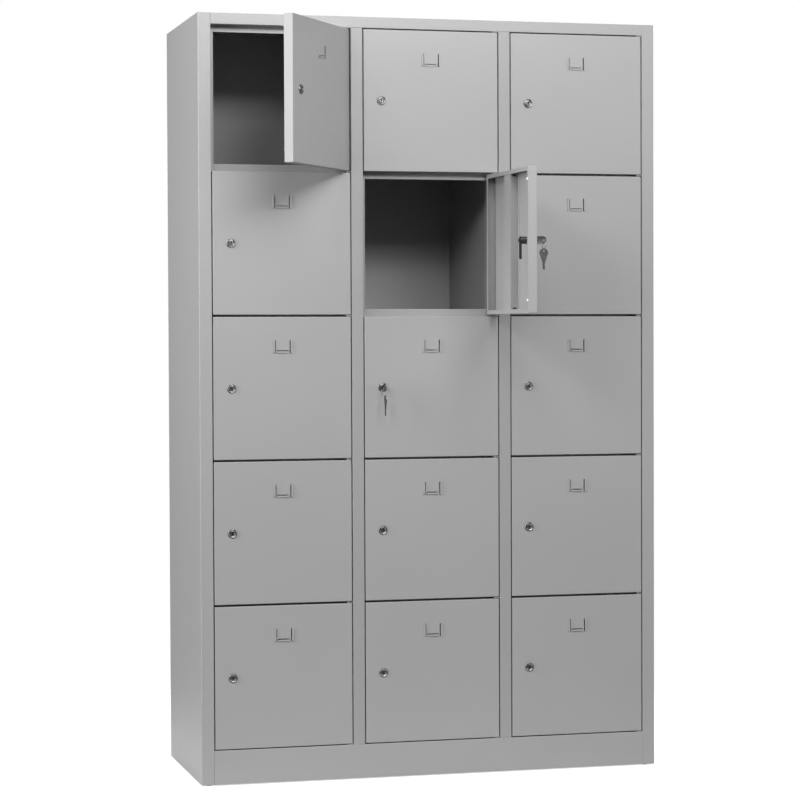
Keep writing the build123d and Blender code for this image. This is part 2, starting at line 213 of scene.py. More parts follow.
def merged(piece: bpy.types.Object, distance: float) -> None:
    """Merges the vertices of a piece that are closer together than a distance."""
    focus(piece)
    bpy.ops.object.mode_set(mode="EDIT")
    leave_edit(piece, merge=distance)


def bevelled(piece: bpy.types.Object, width: float, segments: int = 2, angle: float = 35.0) -> None:
    """Rounds every edge that turns by more than an angle, in degrees.

    Edges too short for the rounding are merged first, because they would hold it back everywhere. What ends up on one
    point is merged afterwards.

    Args:
        piece: The piece.
        width: Width of the rounding.
        segments: Steps across it.
        angle: The least turn, in degrees.
    """
    merged(piece, SHORT_EDGE)
    modifier = piece.modifiers.new("round", "BEVEL")
    modifier.width, modifier.segments, modifier.limit_method = width, segments, "ANGLE"
    modifier.angle_limit = math.radians(angle)
    modifier.use_clamp_overlap = True
    bpy.ops.object.modifier_apply(modifier=modifier.name)
    merged(piece, SAME_POINT)


def smooth(piece: bpy.types.Object, angle: float = 32.0) -> None:
    """Smooth shading across edges that turn by less than an angle, in degrees."""
    focus(piece)
    bpy.ops.object.shade_smooth_by_angle(angle=math.radians(angle))


def joined(name: str, pieces: Iterable[bpy.types.Object]) -> bpy.types.Object:
    """Joins several meshes into one piece."""
    pieces = list(pieces)
    focus(pieces[0])
    for piece in pieces[1:]:
        piece.select_set(True)
    if len(pieces) > 1:
        bpy.ops.object.join()
    pieces[0].name = pieces[0].data.name = name
    return pieces[0]


def placed(piece: bpy.types.Object, place: Matrix) -> bpy.types.Object:
    """Moves a piece, and leaves its object at the origin with the place in its mesh."""
    focus(piece)
    piece.matrix_world = place @ piece.matrix_world
    bpy.ops.object.transform_apply(location=True, rotation=True, scale=True)
    return piece


def copied(pattern: bpy.types.Object, name: str, place: Matrix) -> bpy.types.Object:
    """A copy of a pattern with its own mesh, at a place."""
    focus(pattern)
    bpy.ops.object.duplicate(linked=False)
    return placed(added(name), place)


# ---- Finishes ----


class Grain(Enum):
    """How a finish's fine texture runs."""

    EVEN = (1.0, 1.0, 1.0)
    UPRIGHT = (1.0, 1.0, 0.04)


class Nodes:
    """A material's node tree, with short ways to add to it."""

    def __init__(self, name: str) -> None:
        """Starts a material of that name with its Principled shader."""
        self.material = bpy.data.materials.new(name)
        self.material.use_nodes = True
        self.tree = self.material.node_tree
        self.shader = self.tree.nodes["Principled BSDF"]
        self.place = self.tree.nodes.new("ShaderNodeTexCoord").outputs["Object"]

    def link(self, source: bpy.types.NodeSocket, target: bpy.types.NodeSocket) -> None:
        """Joins two sockets."""
        self.tree.links.new(source, target)

    def mapped(self, grain: Grain) -> bpy.types.NodeSocket:
        """Object coordinates, stretched along a grain."""
        mapping = self.tree.nodes.new("ShaderNodeMapping")
        mapping.inputs["Scale"].default_value = grain.value
        self.link(self.place, mapping.inputs["Vector"])
        return mapping.outputs["Vector"]

    def noise(self, per_metre: float, detail: float = 2.0, grain: Grain = Grain.EVEN) -> bpy.types.NodeSocket:
        """Noise with so many waves to a metre."""
        node = self.tree.nodes.new("ShaderNodeTexNoise")
        node.inputs["Scale"].default_value = per_metre
        node.inputs["Detail"].default_value = detail
        self.link(self.place if grain is Grain.EVEN else self.mapped(grain), node.inputs["Vector"])
        return node.outputs["Fac"]

    def spread(self, value: bpy.types.NodeSocket, low: float, high: float) -> bpy.types.NodeSocket:
        """Noise brought from its middle range to low..high."""
        node = self.tree.nodes.new("ShaderNodeMapRange")
        node.inputs["From Min"].default_value, node.inputs["From Max"].default_value = 0.3, 0.7
        node.inputs["To Min"].default_value, node.inputs["To Max"].default_value = low, high
        self.link(value, node.inputs["Value"])
        return node.outputs["Result"]

    def tint(self, value: bpy.types.NodeSocket, dark: Vector, light: Vector) -> None:
        """Colours the base between two colours by a value."""
        node = self.tree.nodes.new("ShaderNodeMix")
        node.data_type = "RGBA"
        node.inputs["A"].default_value = (*dark, 1.0)
        node.inputs["B"].default_value = (*light, 1.0)
        self.link(value, node.inputs["Factor"])
        self.link(node.outputs["Result"], self.shader.inputs["Base Color"])

    def bumps(self, heights: list[tuple[bpy.types.NodeSocket, float, float]]) -> None:
        """Stacks bumps.

        Args:
            heights: (height socket, strength, depth in metres) of each, the coarsest first.
        """
        normal = None
        for height, strength, depth in heights:
            node = self.tree.nodes.new("ShaderNodeBump")
            node.inputs["Strength"].default_value = strength
            node.inputs["Distance"].default_value = depth
            self.link(height, node.inputs["Height"])
            if normal:
                self.link(normal, node.inputs["Normal"])
            normal = node.outputs["Normal"]
        self.link(normal, self.shader.inputs["Normal"])


@dataclass(frozen=True)
class PowderCoat:
    """Grey powder coat on sheet steel: a fine orange peel, and a tone that hardly varies."""

    name: str
    grey: float
    roughness: float = 0.42
    peel_per_metre: float = 900.0
    wave_per_metre: float = 9.0

    def make(self) -> bpy.types.Material:
        """Builds the material."""
        nodes = Nodes(self.name)
        tone = Vector((self.grey,) * 3)
        nodes.tint(nodes.spread(nodes.noise(3.0), 0.0, 1.0), tone * 0.985, tone * 1.015)
        nodes.link(
            nodes.spread(nodes.noise(40.0, 4.0), self.roughness - 0.03, self.roughness + 0.03),
            nodes.shader.inputs["Roughness"],
        )
        nodes.shader.inputs["Specular IOR Level"].default_value = 0.5
        nodes.bumps([
            (nodes.noise(self.wave_per_metre, 1.0), 0.25, 0.0006),
            (nodes.noise(self.peel_per_metre, 2.0), 0.12, 0.00008),
        ])
        return nodes.material


@dataclass(frozen=True)
class PlatedMetal:
    """Bare or plated metal, polished or brushed."""

    name: str
    colour: tuple[float, float, float]
    roughness: float
    grain: Grain = Grain.EVEN
    grain_per_metre: float = 3000.0
    mottle: float = 0.1

    def make(self) -> bpy.types.Material:
        """Builds the material."""
        nodes = Nodes(self.name)
        nodes.shader.inputs["Metallic"].default_value = 1.0
        colour = Vector(self.colour)
        nodes.tint(
            nodes.spread(nodes.noise(260.0, 3.0), 0.0, 1.0), colour * (1 - self.mottle), colour * (1 + self.mottle)
        )
        fine = nodes.noise(self.grain_per_metre, 3.0, self.grain)
        nodes.link(
            nodes.spread(fine, 0.75 * self.roughness, 1.25 * self.roughness), nodes.shader.inputs["Roughness"]
        )
        nodes.bumps([(fine, 0.15, 0.00003)])
        return nodes.material


@dataclass(frozen=True)
class Moulded:
    """Moulded plastic or rubber with a fine grained skin."""

    name: str
    colour: tuple[float, float, float]
    roughness: float
    glow: float = 0.0

    def make(self) -> bpy.types.Material:
        """Builds the material."""
        nodes = Nodes(self.name)
        colour = Vector(self.colour)
        nodes.tint(nodes.spread(nodes.noise(420.0, 3.0), 0.0, 1.0), colour * 0.94, colour * 1.04)
        fine = nodes.noise(2600.0, 2.0)
        nodes.link(
            nodes.spread(fine, self.roughness - 0.06, self.roughness + 0.06), nodes.shader.inputs["Roughness"]
        )
        nodes.shader.inputs["Subsurface Weight"].default_value = self.glow
        nodes.shader.inputs["Subsurface Radius"].default_value = (0.001, 0.001, 0.001)
        nodes.bumps([(fine, 0.3, 0.00005)])
        return nodes.material


class Finish(Enum):
    """The locker's finishes."""

    CABINET = PowderCoat("cabinet powder coat", 0.30)
    DOOR = PowderCoat("door powder coat", 0.30)
    # The cabinet's grey made a little darker for the partitions and shelves: painted shade for the compartments'
    # insides.
    INSIDE = PowderCoat("inside powder coat", 0.28, roughness=0.40)
    HINGE = PowderCoat("hinge tab powder coat", 0.28)
    CHROME = PlatedMetal("lock satin chrome", (0.24, 0.24, 0.245), 0.34, mottle=0.06)
    ZINC = PlatedMetal("cam black zinc", (0.10, 0.10, 0.105), 0.40, mottle=0.16)
    NICKEL = PlatedMetal("key nickel", (0.15, 0.148, 0.143), 0.40, Grain.UPRIGHT)
    WIRE = PlatedMetal("ring wire", (0.38, 0.38, 0.38), 0.34)
    BUFFER = Moulded("buffer nylon", (0.86, 0.86, 0.85), 0.42, 0.1)
    GLIDE = Moulded("glide plastic", (0.028, 0.028, 0.03), 0.55)


class Paintshop:
    """Makes each finish once and puts it on pieces."""

    def __init__(self) -> None:
        """Starts with no material made."""
        self.made: dict[Finish, bpy.types.Material] = {}

    def dress(self, piece: bpy.types.Object, finish: Finish) -> bpy.types.Object:
        """Gives a piece one finish all over."""
        if finish not in self.made:
            self.made[finish] = finish.value.make()
        piece.data.materials.clear()
        piece.data.materials.append(self.made[finish])
        return piece


SHOP = Paintshop()


# ---- Where things are ----


def joint(name: str) -> dict:
    """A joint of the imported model."""
    return next(j for j in frame["joints"] if j["name"] == name)


@dataclass(frozen=True)
class DoorPlace:
    """One door's place in the grid."""

    column: int
    row: int

    @property
    def tag(self) -> str:
        """The ending of this door's node and body names."""
        return f"c{self.column}r{self.row}"

    @property
    def body(self) -> str:
        """The body that the door's own pieces ride on."""
        return f"door_{self.tag}"

    @property
    def angle(self) -> float:
        """How far the door stands open, in radians: its range starts at the shut door."""
        return -math.radians(joint(f"door_swing_{self.tag}")["range_deg"][0])

    @property
    def turn(self) -> Matrix:
        """The door's turn about the upright."""
        return Matrix.Rotation(self.angle, 4, "Z")

    def matrix(self) -> Matrix:
        """The door's own frame: on the hinge axis, level with the door's lower edge."""
        x, y, _ = joint(f"door_swing_{self.tag}")["pos_m"]
        return Matrix.Translation((x, y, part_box(self.body)[0].z)) @ self.turn

    def at(self, joint_name: str) -> Matrix:
        """A frame at a joint's point, turned with the door."""
        return Matrix.Translation(joint(joint_name)["pos_m"]) @ self.turn


DOORS = [DoorPlace(column, row) for column in (1, 2, 3) for row in (1, 2, 3, 4, 5)]
KEYED = [place for place in DOORS if f"key_{place.tag}" in frame["nodes"]]


# ---- Cabinet and doors ----


@dataclass
class Cabinet:
    """The welded cabinet: its sheets keep their folded shape and get their coat."""

    glide_radius: float = 9.5 * MM
    glide_rim: float = 1.2 * MM
    glide_dish: float = 0.5 * MM
    stem_radius: float = 4.0 * MM
    stem_height: float = 9.0 * MM

    def coats(self) -> dict[str, Finish]:
        """The finish of each of the cabinet's nodes."""
        outside = ("side_panel_left", "side_panel_right", "top_panel", "plinth", "back_panel")
        inside = ("partitions", "shelves")
        return {
            **{name: Finish.CABINET for name in outside},
            # The partitions and shelves get the darker copy of the coat, which is painted shade.
            **{name: Finish.INSIDE for name in inside},
            "hinge_tabs": Finish.HINGE,
        }

    def glide_pattern(self) -> bpy.types.Object:
        """One glide: a stem, and a foot with a rounded rim and a dished sole."""
        foot_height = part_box("plinth")[0].z
        edge, rim = self.glide_radius, self.glide_rim
        outline = [
            (edge - 3 * rim, self.glide_dish), (edge - 2 * rim, 0.0), (edge - rim, 0.0), (edge - 0.3 * rim, 0.3 * rim),
            (edge, rim), (edge, foot_height - 0.4 * rim), (edge - 0.4 * rim, foot_height),
            (self.stem_radius, foot_height), (self.stem_radius, self.stem_height - 0.5 * MM),
            (self.stem_radius - 0.5 * MM, self.stem_height),
        ]
        piece = turned("glide_pattern", outline, 40)
        smooth(piece)
        return piece

    def glides(self) -> bpy.types.Object:
        """The four glides, standing where the feet are."""
        low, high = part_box("feet")
        pattern = self.glide_pattern()
        xs = (low.x + self.glide_radius, high.x - self.glide_radius)
        ys = (low.y + self.glide_radius, high.y - self.glide_radius)
        feet = [copied(pattern, "glide", Matrix.Translation((x, y, 0))) for x in xs for y in ys]
        bpy.data.objects.remove(pattern)
        return SHOP.dress(joined("glides", feet), Finish.GLIDE)

    def build(self) -> list[bpy.types.Object]:
        """Coats the sheets and makes the glides.

        Returns:
            The cabinet's pieces.
        """
        pieces = [SHOP.dress(frame["nodes"][name], finish) for name, finish in self.coats().items()]
        glides = self.glides()
        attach(glides, "root")
        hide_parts("feet")
        return [*pieces, glides]


@dataclass
class Door:
    """A door pan with its card holder, and two buffers on the free edge's lip."""

    place: DoorPlace
    lip_middle: float = 5.0 * MM
    buffer_radius: float = 3.0 * MM
    buffer_rise: float = 1.9 * MM
    buffer_from_end: float = 30.0 * MM

    def frame_sizes(self) -> tuple[float, float, float]:
        """The door's left edge, its rear face and its height, in the door's own frame."""
        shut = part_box("door_c1r2")
        hinge_x, hinge_y, _ = joint("door_swing_c1r2")["pos_m"]
        return shut[0].x - hinge_x, shut[1].y - hinge_y, shut[1].z - shut[0].z

    def buffer(self, x: float, y: float, z: float) -> bpy.types.Object:
        """One buffer, a low button with a rounded rim and a small dimple."""
        r, rise = self.buffer_radius, self.buffer_rise
        outline = [
            (r, 0.0), (r, 0.45 * rise), (0.9 * r, 0.8 * rise), (0.68 * r, rise), (0.4 * r, rise),
            (0.3 * r, 0.85 * rise), (0.1 * r, 0.8 * rise),
        ]
        piece = turned("buffer", outline, 24)
        smooth(piece)
        return placed(piece, Matrix.Translation((x, y, z)) @ Matrix.Rotation(-math.pi / 2, 4, "X"))

    def build(self) -> list[bpy.types.Object]:
        """Coats the door and seats its buffers.

        Returns:
            The door's pieces.
        """
        coat = SHOP.dress(frame["nodes"][self.place.body], Finish.DOOR)
        left, rear, height = self.frame_sizes()
        ends = (self.buffer_from_end, height - self.buffer_from_end)
        buttons = [self.buffer(left + self.lip_middle, rear, z) for z in ends]
        buffers = placed(joined(f"buffers_{self.place.tag}", buttons), self.place.matrix())
        SHOP.dress(buffers, Finish.BUFFER)
        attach(buffers, self.place.body)
        return [coat, buffers]


# ---- Locks and keys ----


@dataclass
class CamLock:
    """A cam lock. Its own frame has Z out of the door's face, on the lock's axis, from the skin's front."""

    bezel_radius: float = 11.0 * MM
    bezel_rise: float = 3.0 * MM
    barrel_radius: float = 9.0 * MM
    flat_half: float = 8.2 * MM
    bore_radius: float = 6.5 * MM
    thread: float = 1.25 * MM
    thread_depth: float = 0.45 * MM
    thread_top: float = 5.2 * MM
    plug_radius: float = 6.4 * MM
    plug_rise: float = 2.5 * MM
    keyway_half: tuple[float, float] = (1.2 * MM, 3.0 * MM)
    keyway_depth: float = 17.0 * MM
    nut_flats: float = 24.0 * MM
    nut_height: float = 4.0 * MM
    nut_edge: float = 0.5 * MM
    nut_clearance: float = 0.05 * MM
    skin: float = 0.8 * MM
    cam_half: float = 7.0 * MM
    cam_hub: float = 9.0 * MM
    cam_thick: float = 2.5 * MM
    cam_corner: float = 3.0 * MM
    cam_edge: float = 0.35 * MM
    cam_gap: float = 0.4 * MM
    screw_radius: float = 5.1 * MM
    washer_thick: float = 0.8 * MM
    washer_edge: float = 0.2 * MM
    head_end: float = 3.0 * MM
    head_edge: float = 0.3 * MM
    cross_depth: float = 1.1 * MM
    cross_half: tuple[float, float] = (0.5 * MM, 2.2 * MM)

    def rear(self) -> float:
        """How far behind the skin's front the cam's front face is."""
        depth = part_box("lock_plug_c1r2")[1].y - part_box("partitions")[0].y
        return depth - self.cam_thick - self.head_end

    def housing(self) -> bpy.types.Object:
        """The bezel with its rounded rim and sunk inner ring, and the threaded barrel with two flats."""
        low = -self.rear() + self.cam_gap
        rise, edge = self.bezel_rise, self.bezel_radius
        outline = [(edge, 0.0), (edge, 0.45 * rise), (0.985 * edge, 0.7 * rise), (0.94 * edge, 0.9 * rise)]
        outline += [(0.87 * edge, rise), (0.80 * edge, 0.96 * rise), (0.72 * edge, 0.74 * rise)]
        outline += [(0.66 * edge, 0.62 * rise), (0.62 * edge, 0.66 * rise), (self.bore_radius, 0.6 * rise)]
        outline += [(self.bore_radius, low), (self.barrel_radius - 0.5 * MM, low), (self.barrel_radius, low + 0.5 * MM)]
        turns = int((-self.thread_top - low) / self.thread)
        for turn in range(turns):
            start = low + 0.5 * MM + turn * self.thread
            outline.append((self.barrel_radius - self.thread_depth, start + 0.5 * self.thread))
            outline.append((self.barrel_radius, start + self.thread))
        outline.append((self.barrel_radius, 0.0))
        piece = turned("lock_housing", outline, 36, closed=True)
        wide = 2 * self.barrel_radius
        for side in (-1, 1):
            xs = sorted((side * self.flat_half, side * wide))
            cut(piece, box("flat", Vector((xs[0], -wide, 2 * low)), Vector((xs[1], wide, -self.skin - 0.01 * MM))))
        smooth(piece)
        return piece

    def nut(self) -> bpy.types.Object:
        """The hexagon nut against the inside of the skin."""
        low, high = -self.skin - self.nut_height, -self.skin
        piece = rod("lock_nut", self.nut_flats / 2 / math.cos(math.pi / 6), low, high, 6)
        cut(piece, rod("bore", self.barrel_radius + self.nut_clearance, 2 * low, high + self.skin, 36))
        bevelled(piece, self.nut_edge, angle=50)
        smooth(piece, 20)
        return piece

    def plug(self) -> bpy.types.Object:
        """The plug: a rounded face with a sunk ring round the keyway, and its body back to the cam."""
        low, top, edge = -self.rear(), self.plug_rise, self.plug_radius
        outline = [(edge, low), (edge, top - 0.5 * MM), (edge - 0.15 * MM, top - 0.15 * MM), (edge - 0.5 * MM, top)]
        outline += [(edge - 1.4 * MM, top), (edge - 1.7 * MM, top - 0.25 * MM), (edge - 2.2 * MM, top - 0.3 * MM)]
        piece = turned("lock_plug", outline, 36)
        wide, tall = self.keyway_half
        cut(piece, box("keyway", Vector((-wide, -tall, top - self.keyway_depth)), Vector((wide, tall, 2 * top))))
        smooth(piece)
        return piece

    def cam(self) -> bpy.types.Object:
        """The cam, hanging: a hub and an arm with rounded tip, its edges broken."""
        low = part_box("lock_plug_c1r2")[0].z - joint("lock_turn_c1r2")["pos_m"][2]
        back = -self.rear() - self.cam_thick
        arm = box("cam_arm", Vector((-self.cam_half, low, back)), Vector((self.cam_half, 0, -self.rear())))
        pick(arm, Element.EDGES, lambda c: c.y < 0.99 * low and abs(c.z - (back - self.rear()) / 2) < 0.3 * MM)
        bpy.ops.mesh.bevel(offset=self.cam_corner, segments=5)
        leave_edit(arm)
        bevelled(arm, self.cam_edge, angle=50)
        hub = rod("cam_hub", self.cam_hub, back, -self.rear(), 36)
        bevelled(hub, self.cam_edge, angle=50)
        combined(arm, hub, Solid.WELD)
        merged(arm, SAME_POINT)
        smooth(arm, 20)
        return arm

    def screw(self) -> bpy.types.Object:
        """The screw behind the cam: a washer and a hexagon head with a cross cut into it."""
        back = -self.rear() - self.cam_thick
        seat, end = back - self.washer_thick, back - self.head_end
        washer = rod("cam_washer", self.screw_radius, seat, back, 32)
        bevelled(washer, self.washer_edge)
        head = rod("cam_screw", 0.84 * self.screw_radius, end, seat, 6)
        bevelled(head, self.head_edge)
        for x, y in (self.cross_half, self.cross_half[::-1]):
            cut(head, box("cross", Vector((-x, -y, end - MM)), Vector((x, y, end + self.cross_depth))))
        return joined("cam_screw", [washer, head])

    def patterns(self) -> tuple[bpy.types.Object, bpy.types.Object, bpy.types.Object]:
        """The fixed part, the turning plug and the cam with its screw, once each."""
        body = SHOP.dress(joined("lock_pattern", [self.housing(), self.nut()]), Finish.CHROME)
        core = SHOP.dress(self.plug(), Finish.CHROME)
        cam = SHOP.dress(joined("cam_pattern", [self.cam(), self.screw()]), Finish.ZINC)
        return body, core, cam

    def place_of(self, place: DoorPlace) -> Matrix:
        """The lock's frame on a door."""
        hinge_y = joint("door_swing_c1r2")["pos_m"][1]
        to_face = Matrix.Translation((0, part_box("partitions")[0].y - hinge_y, 0))
        return place.at(f"lock_turn_{place.tag}") @ to_face @ Matrix.Rotation(math.pi / 2, 4, "X")

    def build(self) -> list[bpy.types.Object]:
        """Puts a lock in each door.

        Returns:
            The locks' pieces.
        """
        body, core, cam = self.patterns()
        pieces = []
        for place in DOORS:
            at = self.place_of(place)
            fixed = copied(body, f"cam_lock_{place.tag}", at)
            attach(fixed, place.body)
            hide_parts(f"lock_body_{place.tag}")
            plug = copied(core, f"lock_core_{place.tag}", at)
            arm = copied(cam, f"lock_cam_{place.tag}", at)
            for piece, slot in ((plug, "lock_chrome"), (arm, "cam_steel")):
                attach(piece, f"lock_plug_{place.tag}")
                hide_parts(f"lock_plug_{place.tag}")
            pieces += [fixed, plug, arm]
        for pattern in (body, core, cam):
            bpy.data.objects.remove(pattern)
        return pieces


@dataclass
class KeySet:
    """The key in a lock, its ring and the spare key. Keys are made flat: X to the tip, Y across, Z through."""

    place: DoorPlace
    thick: float = 2.0 * MM
    blade_half: float = 2.8 * MM
    hole_radius: float = 2.5 * MM
    recess: float = 0.35 * MM
    rim: float = 1.7 * MM
    edge: float = 0.18 * MM
    bitting: tuple[float, ...] = (0.9 * MM, 1.5 * MM, 0.6 * MM, 1.3 * MM)
    bow_length: float = 26.0 * MM
    bow_corner: float = 8.0 * MM
    shank_from_end: float = 34.0 * MM
    hole_from_end: float = 5.0 * MM
    notch_half: float = 1.4 * MM
    tip_reach: float = 3.0 * MM
    tip_angle: float = 35.0
    ring_wire: float = 0.42 * MM
    ring_inset: float = 0.8 * MM
    ring_split: float = 0.2 * MM
    ring_edge: float = 0.1 * MM

    def blade_work(self, key: bpy.types.Object, start: float, tip: float) -> None:
        """Cuts the groove and the bitting into a key's blade, and points its tip.

        Args:
            key: The flat key.
            start: X where the blade starts.
            tip: X of the tip.
        """
        half, thick = self.blade_half, self.thick / 2
        groove = box("groove", Vector((start, 0.3 * half, 0.45 * thick)), Vector((tip + thick, 0.75 * half, 2 * thick)))
        cut(key, groove)
        pitch = (tip - start) / (len(self.bitting) + 1.5)
        for number, depth in enumerate(self.bitting):
            x = start + (number + 1.2) * pitch
            corner = Vector((self.notch_half, self.notch_half, 2 * thick))
            notch = box("notch", -corner, corner)
            turn = Matrix.Rotation(math.pi / 4, 4, "Z")
            cut(key, placed(notch, Matrix.Translation((x, depth - half - 2.0 * MM, 0)) @ turn))
        reach = self.tip_reach
        for side in (-1, 1):
            wedge = box("wedge", Vector((-reach, 0, -2 * thick)), Vector((reach, reach, 2 * thick)))
            turn = Matrix.Rotation(-side * math.radians(self.tip_angle), 4, "Z")
            flip = Matrix.Scale(side, 4, (0, 1, 0))
            cut(key, placed(wedge, Matrix.Translation((tip, side * 0.35 * half, 0)) @ turn @ flip))

    def finish_key(self, key: bpy.types.Object, hole_x: float) -> None:
        """Drills the ring hole, breaks the edges and dresses a key."""
        hole = rod("hole", self.hole_radius, -self.thick, self.thick, 28)
        cut(key, placed(hole, Matrix.Translation((hole_x, 0, 0))))
        bpy.ops.object.mode_set(mode="EDIT")
        bpy.ops.mesh.select_all(action="SELECT")
        bpy.ops.mesh.dissolve_limited(angle_limit=math.radians(0.5))
        leave_edit(key)
        bevelled(key, self.edge, angle=40)
        smooth(key, 20)
        SHOP.dress(key, Finish.NICKEL)

    def inserted_key(self) -> bpy.types.Object:
        """The key in the lock: a blunt bow and the blade in the keyway."""
        low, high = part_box("key_c2r3")
        ring_y = joint("ring_swing_c2r3")["pos_m"][1]
        bow_end, blade_end, half = low.y - ring_y, high.y - ring_y, (high.z - low.z) / 2
        bow_start = bow_end + self.bow_length
        key = box("key", Vector((bow_end, -half, -self.thick / 2)), Vector((bow_start, half, self.thick / 2)))
        pick(key, Element.EDGES, lambda c: abs(c.z) < 0.1 * MM)
        bpy.ops.mesh.bevel(offset=self.bow_corner, segments=8)
        leave_edit(key)
        pick(key, Element.FACES, lambda c: abs(c.z) > 0.9 * self.thick / 2)
        bpy.ops.mesh.inset(thickness=self.rim, depth=-self.recess)
        leave_edit(key)
        blade = box(
            "blade", Vector((bow_start - 1 * MM, -self.blade_half, -self.thick / 2)),
            Vector((blade_end, self.blade_half, self.thick / 2)),
        )
        combined(key, blade, Solid.WELD)
        self.blade_work(key, bow_start, blade_end)
        self.finish_key(key, 0.0)
        axis_z = joint("lock_turn_c2r3")["pos_m"][2] - joint("ring_swing_c2r3")["pos_m"][2]
        to_lock = Matrix.Translation((0, 0, axis_z)) @ Matrix(((0, 0, 1, 0), (1, 0, 0, 0), (0, 1, 0, 0), (0, 0, 0, 1)))
        return placed(key, self.place.at(f"ring_swing_{self.place.tag}") @ to_lock)

    def spare_key(self) -> bpy.types.Object:
        """The hanging key: a round bow, a taper and the blade."""
        low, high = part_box("spare_key_c2r3")
        radius = (high.y - low.y) / 2
        length = high.z - low.z
        chord = 0.9 * radius
        deep = math.sqrt(radius**2 - chord**2)
        taper = self.shank_from_end - radius
        reach = deep - 0.01 * MM
        deselect_all()
        bpy.ops.mesh.primitive_circle_add(vertices=48, radius=radius, fill_type="NGON")
        key = added("spare_key")
        pick(key, Element.VERTS, lambda c: c.x > reach)
        bpy.ops.transform.resize(value=(0, 1, 1), center_override=(deep, 0, 0))
        bpy.ops.object.mode_set(mode="OBJECT")
        pick(key, Element.EDGES, lambda c: c.x > reach)
        share = self.blade_half / max(v.co.y for v in key.data.vertices if v.co.x > reach)
        bpy.ops.mesh.extrude_edges_move(TRANSFORM_OT_translate={"value": (taper - deep, 0, 0)})
        bpy.ops.transform.resize(value=(1, share, 1), center_override=(taper, 0, 0))
        bpy.ops.mesh.extrude_edges_move(TRANSFORM_OT_translate={"value": (length - radius - taper, 0, 0)})
        bpy.ops.mesh.select_all(action="SELECT")
        bpy.ops.transform.translate(value=(0, 0, -self.thick / 2))
        bpy.ops.mesh.extrude_region_move(TRANSFORM_OT_translate={"value": (0, 0, self.thick)})
        leave_edit(key, merge=0.01 * MM)
        for side in (-1, 1):
            floor, outside = side * (self.thick / 2 - self.recess), side * self.thick
            cut(key, rod("recess", radius - self.rim, min(floor, outside), max(floor, outside), 48))
        self.blade_work(key, taper, length - radius)
        hole_drop = high.z - joint("spare_swing_c2r3")["pos_m"][2]
        self.finish_key(key, self.hole_from_end - radius)
        down = Matrix(((0, 0, 1, 0), (0, 1, 0, 0), (-1, 0, 0, 0), (0, 0, 0, 1)))
        centre = Matrix.Translation((0, 0, hole_drop - radius))
        return placed(key, self.place.at(f"spare_swing_{self.place.tag}") @ centre @ down)

    def split_ring(self) -> bpy.types.Object:
        """The split ring: two close turns of wire, each with its end on its own side."""
        low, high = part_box("key_ring_c2r3")
        radius = (high.x - low.x) / 2 - self.ring_inset
        turns = []
        for side in (-1, 1):
            deselect_all()
            bpy.ops.mesh.primitive_torus_add(
                major_radius=radius, minor_radius=self.ring_wire, major_segments=64, minor_segments=10,
                location=(0, 0, side * 0.8 * self.ring_wire),
            )
            turns.append(added("turn"))
            bpy.ops.object.transform_apply(location=True, rotation=True, scale=True)
            split = Vector((side * radius, 0.2 * radius, 0))
            reach = Vector((3 * self.ring_wire, self.ring_split, 5 * self.ring_wire))
            cut(turns[-1], box("split", split - reach, split + reach))
            bevelled(turns[-1], self.ring_edge, angle=50)
            smooth(turns[-1], 60)
        ring = SHOP.dress(joined("split_ring", turns), Finish.WIRE)
        hang = Matrix.Translation((0, 0, -radius)) @ Matrix.Rotation(math.pi / 2, 4, "X")
        return placed(ring, self.place.at(f"ring_swing_{self.place.tag}") @ hang)

    def build(self) -> list[bpy.types.Object]:
        """Makes the key, the ring and the spare key of one lock.

        Returns:
            The three pieces.
        """
        made = (
            (self.inserted_key(), "key", "key_nickel"),
            (self.split_ring(), "key_ring", "ring_steel"),
            (self.spare_key(), "spare_key", "key_nickel"),
        )
        for piece, node, slot in made:
            name = f"{node}_{self.place.tag}"
            piece.name = piece.data.name = f"cut_{name}"
            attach(piece, name)
            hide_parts(name)
        return [piece for piece, _, _ in made]


# ---- Studio ----


@dataclass(frozen=True)
class Softbox:
    """A rectangular lamp: where it is, what it points at, its size and its power."""

    name: str
    at: tuple[float, float, float]
    towards: tuple[float, float, float]
    size: tuple[float, float]
    watts: float

    def build(self) -> None:
        """Hangs the lamp."""
        deselect_all()
        bpy.ops.object.light_add(type="AREA", location=self.at)
        lamp = bpy.context.object
        lamp.name = self.name
        lamp.rotation_euler = (Vector(self.towards) - Vector(self.at)).to_track_quat("-Z", "Y").to_euler()
        lamp.data.shape = "RECTANGLE"
        lamp.data.size, lamp.data.size_y = self.size
        lamp.data.energy = self.watts


